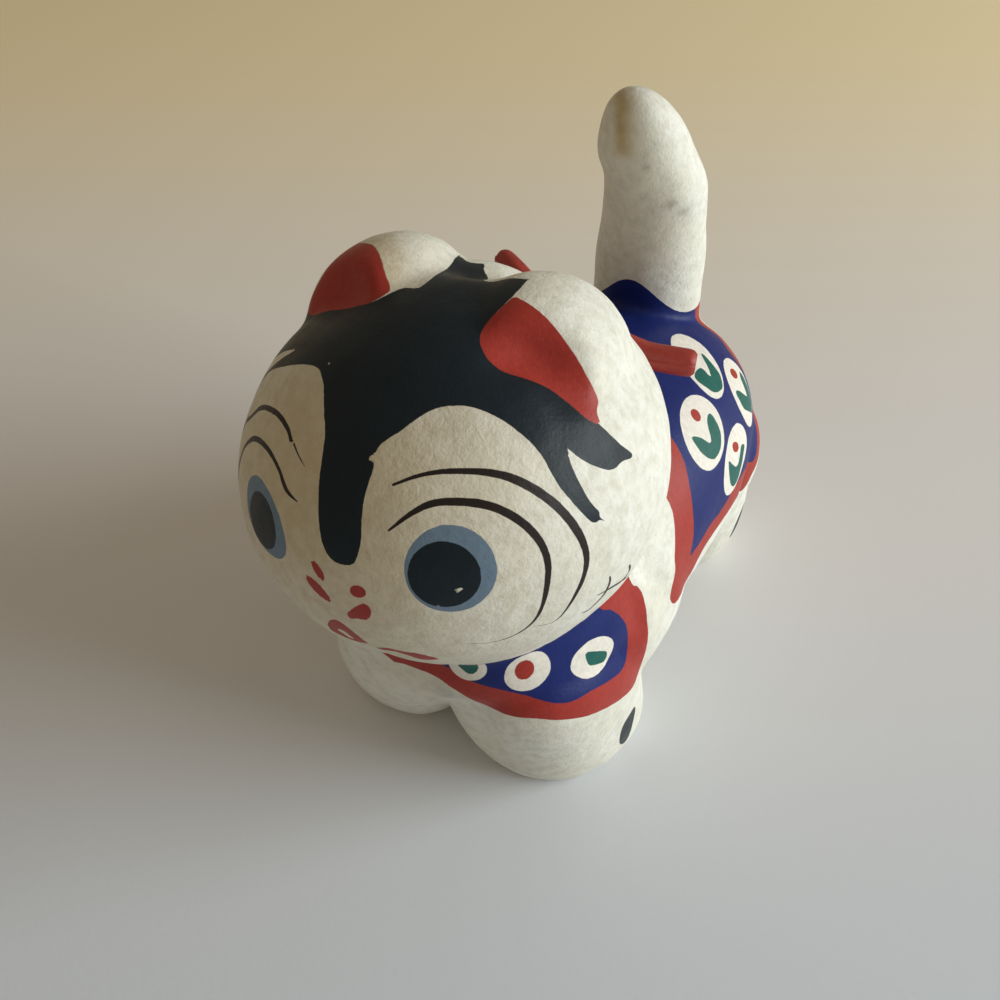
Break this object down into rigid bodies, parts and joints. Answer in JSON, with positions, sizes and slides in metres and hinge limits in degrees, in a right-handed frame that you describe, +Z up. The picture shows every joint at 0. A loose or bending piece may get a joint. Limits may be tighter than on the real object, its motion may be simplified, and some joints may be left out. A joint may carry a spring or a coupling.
{
  "type": "papier-mache dog figurine",
  "caption": "Standing papier-mache dog ornament with a big tilted round head, stub legs and an upright tail, hand-painted in traditional style.",
  "frame": {"origin": "on the ground plane under the soles, below the middle of the bounding box", "axes": "+Z up, the face looks along -Y, the tail is towards +Y, and the figure's own left side is +X"},
  "size_m": [0.0755, 0.129, 0.1128],
  "materials": {
    "painted_paper": "matt shell-white coat over paper, hand-painted in slate black, brick red, ultramarine, green and grey blue",
    "red_paper": "rolled paper under brick-red brushed paint, dull satin"
  },
  "bodies": {
    "root": {"figure": "painted_paper", "collar_tie": "red_paper"}
  },
  "joints": []
}
